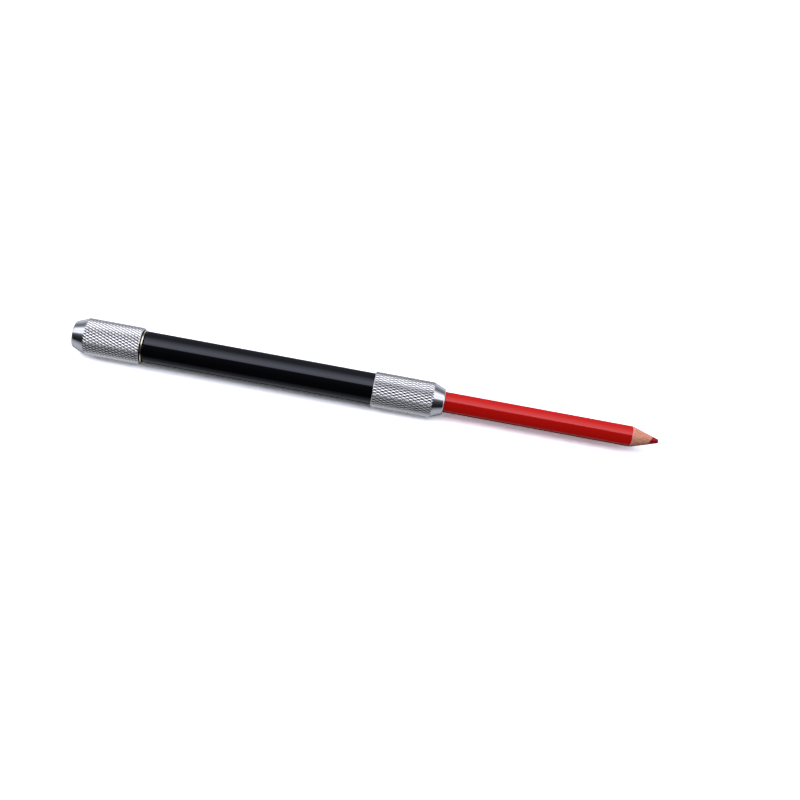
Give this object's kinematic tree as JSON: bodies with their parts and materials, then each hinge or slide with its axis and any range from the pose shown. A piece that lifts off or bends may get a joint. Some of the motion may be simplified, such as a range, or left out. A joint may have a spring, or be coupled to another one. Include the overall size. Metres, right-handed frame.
{
  "type": "double-ended pencil extender",
  "caption": "Lacquered hexagonal handle with a brass ferrule, a split collet and a knurled screw sleeve at each end; a sharpened hexagonal pencil stub is gripped in the front one.",
  "frame": {"origin": "middle of the handle's length, on its axis", "axes": "+X along the axis towards the pencil's point, +Z out of an upper flat of the hexagonal handle, +Y to the left of +X"},
  "size_m": [0.2071, 0.013, 0.013],
  "materials": {
    "lacquered_handle": "thick glossy black lacquer over wood",
    "ferrule_brass": "turned, satin",
    "collet_brass": "turned and slit",
    "sleeve_aluminium": "bright, diamond knurl, turned cone",
    "pencil_casing": "glossy red lacquer, bare cedar on the sharpened cone",
    "pencil_core": "waxy dark red pigment core"
  },
  "bodies": {
    "handle": {"hex_handle": "lacquered_handle", "front_ferrule": "ferrule_brass", "rear_ferrule": "ferrule_brass"},
    "pencil": {"pencil_upper_casing": "pencil_casing", "pencil_lower_casing": "pencil_casing", "pencil_lead": "pencil_core"},
    "front_collet": {"front_collet_ring": "collet_brass"},
    "front_sleeve": {"front_knurled_sleeve": "sleeve_aluminium"},
    "front_jaw_1": {"front_collet_jaw_1": "collet_brass"},
    "front_jaw_2": {"front_collet_jaw_2": "collet_brass"},
    "front_jaw_3": {"front_collet_jaw_3": "collet_brass"},
    "rear_collet": {"rear_collet_ring": "collet_brass"},
    "rear_sleeve": {"rear_knurled_sleeve": "sleeve_aluminium"},
    "rear_jaw_1": {"rear_collet_jaw_1": "collet_brass"},
    "rear_jaw_2": {"rear_collet_jaw_2": "collet_brass"},
    "rear_jaw_3": {"rear_collet_jaw_3": "collet_brass"}
  },
  "joints": [
    {"name": "pencil_slide", "type": "slide", "parent": "handle", "child": "pencil", "axis": [1, 0, 0], "range_m": [-0.00025, 0.018]},
    {"name": "front_collet_travel", "type": "slide", "parent": "handle", "child": "front_collet", "axis": [1, 0, 0], "range_m": [0, 0.0024]},
    {"name": "front_sleeve_turn", "type": "hinge", "parent": "front_collet", "child": "front_sleeve", "pos_m": [0.052, 0, 0], "axis": [1, 0, 0], "range_deg": [0, 1152.5]},
    {"name": "front_jaw_1_swing", "type": "hinge", "parent": "front_collet", "child": "front_jaw_1", "pos_m": [0.0449, 0, 0.00427], "axis": [0, -1, 0], "range_deg": [0, 2.55]},
    {"name": "front_jaw_2_swing", "type": "hinge", "parent": "front_collet", "child": "front_jaw_2", "pos_m": [0.0449, -0.0037, -0.00214], "axis": [0, 0.5, -0.866], "range_deg": [0, 2.55]},
    {"name": "front_jaw_3_swing", "type": "hinge", "parent": "front_collet", "child": "front_jaw_3", "pos_m": [0.0449, 0.0037, -0.00214], "axis": [0, 0.5, 0.866], "range_deg": [0, 2.55]},
    {"name": "rear_collet_travel", "type": "slide", "parent": "handle", "child": "rear_collet", "axis": [-1, 0, 0], "range_m": [-0.0016, 0.0008]},
    {"name": "rear_sleeve_turn", "type": "hinge", "parent": "rear_collet", "child": "rear_sleeve", "pos_m": [-0.052, 0, 0], "axis": [-1, 0, 0], "range_deg": [-768.5, 384.5]},
    {"name": "rear_jaw_1_swing", "type": "hinge", "parent": "rear_collet", "child": "rear_jaw_1", "pos_m": [-0.0465, 0, 0.00427], "axis": [0, 1, 0], "range_deg": [-1.71, 0.86]},
    {"name": "rear_jaw_2_swing", "type": "hinge", "parent": "rear_collet", "child": "rear_jaw_2", "pos_m": [-0.0465, 0.0037, -0.00214], "axis": [0, -0.5, -0.866], "range_deg": [-1.71, 0.86]},
    {"name": "rear_jaw_3_swing", "type": "hinge", "parent": "rear_collet", "child": "rear_jaw_3", "pos_m": [-0.0465, -0.0037, -0.00214], "axis": [0, -0.5, 0.866], "range_deg": [-1.71, 0.86]}
  ],
  "couplings": [
    {"joint": "front_sleeve_turn", "follows": "front_collet_travel", "rad_per_m": 8377.6},
    {"joint": "front_jaw_1_swing", "follows": "front_collet_travel", "rad_per_m": 18.419},
    {"joint": "front_jaw_2_swing", "follows": "front_collet_travel", "rad_per_m": 18.419},
    {"joint": "front_jaw_3_swing", "follows": "front_collet_travel", "rad_per_m": 18.419},
    {"joint": "rear_sleeve_turn", "follows": "rear_collet_travel", "rad_per_m": 8377.6},
    {"joint": "rear_jaw_1_swing", "follows": "rear_collet_travel", "rad_per_m": 18.419},
    {"joint": "rear_jaw_2_swing", "follows": "rear_collet_travel", "rad_per_m": 18.419},
    {"joint": "rear_jaw_3_swing", "follows": "rear_collet_travel", "rad_per_m": 18.419}
  ]
}
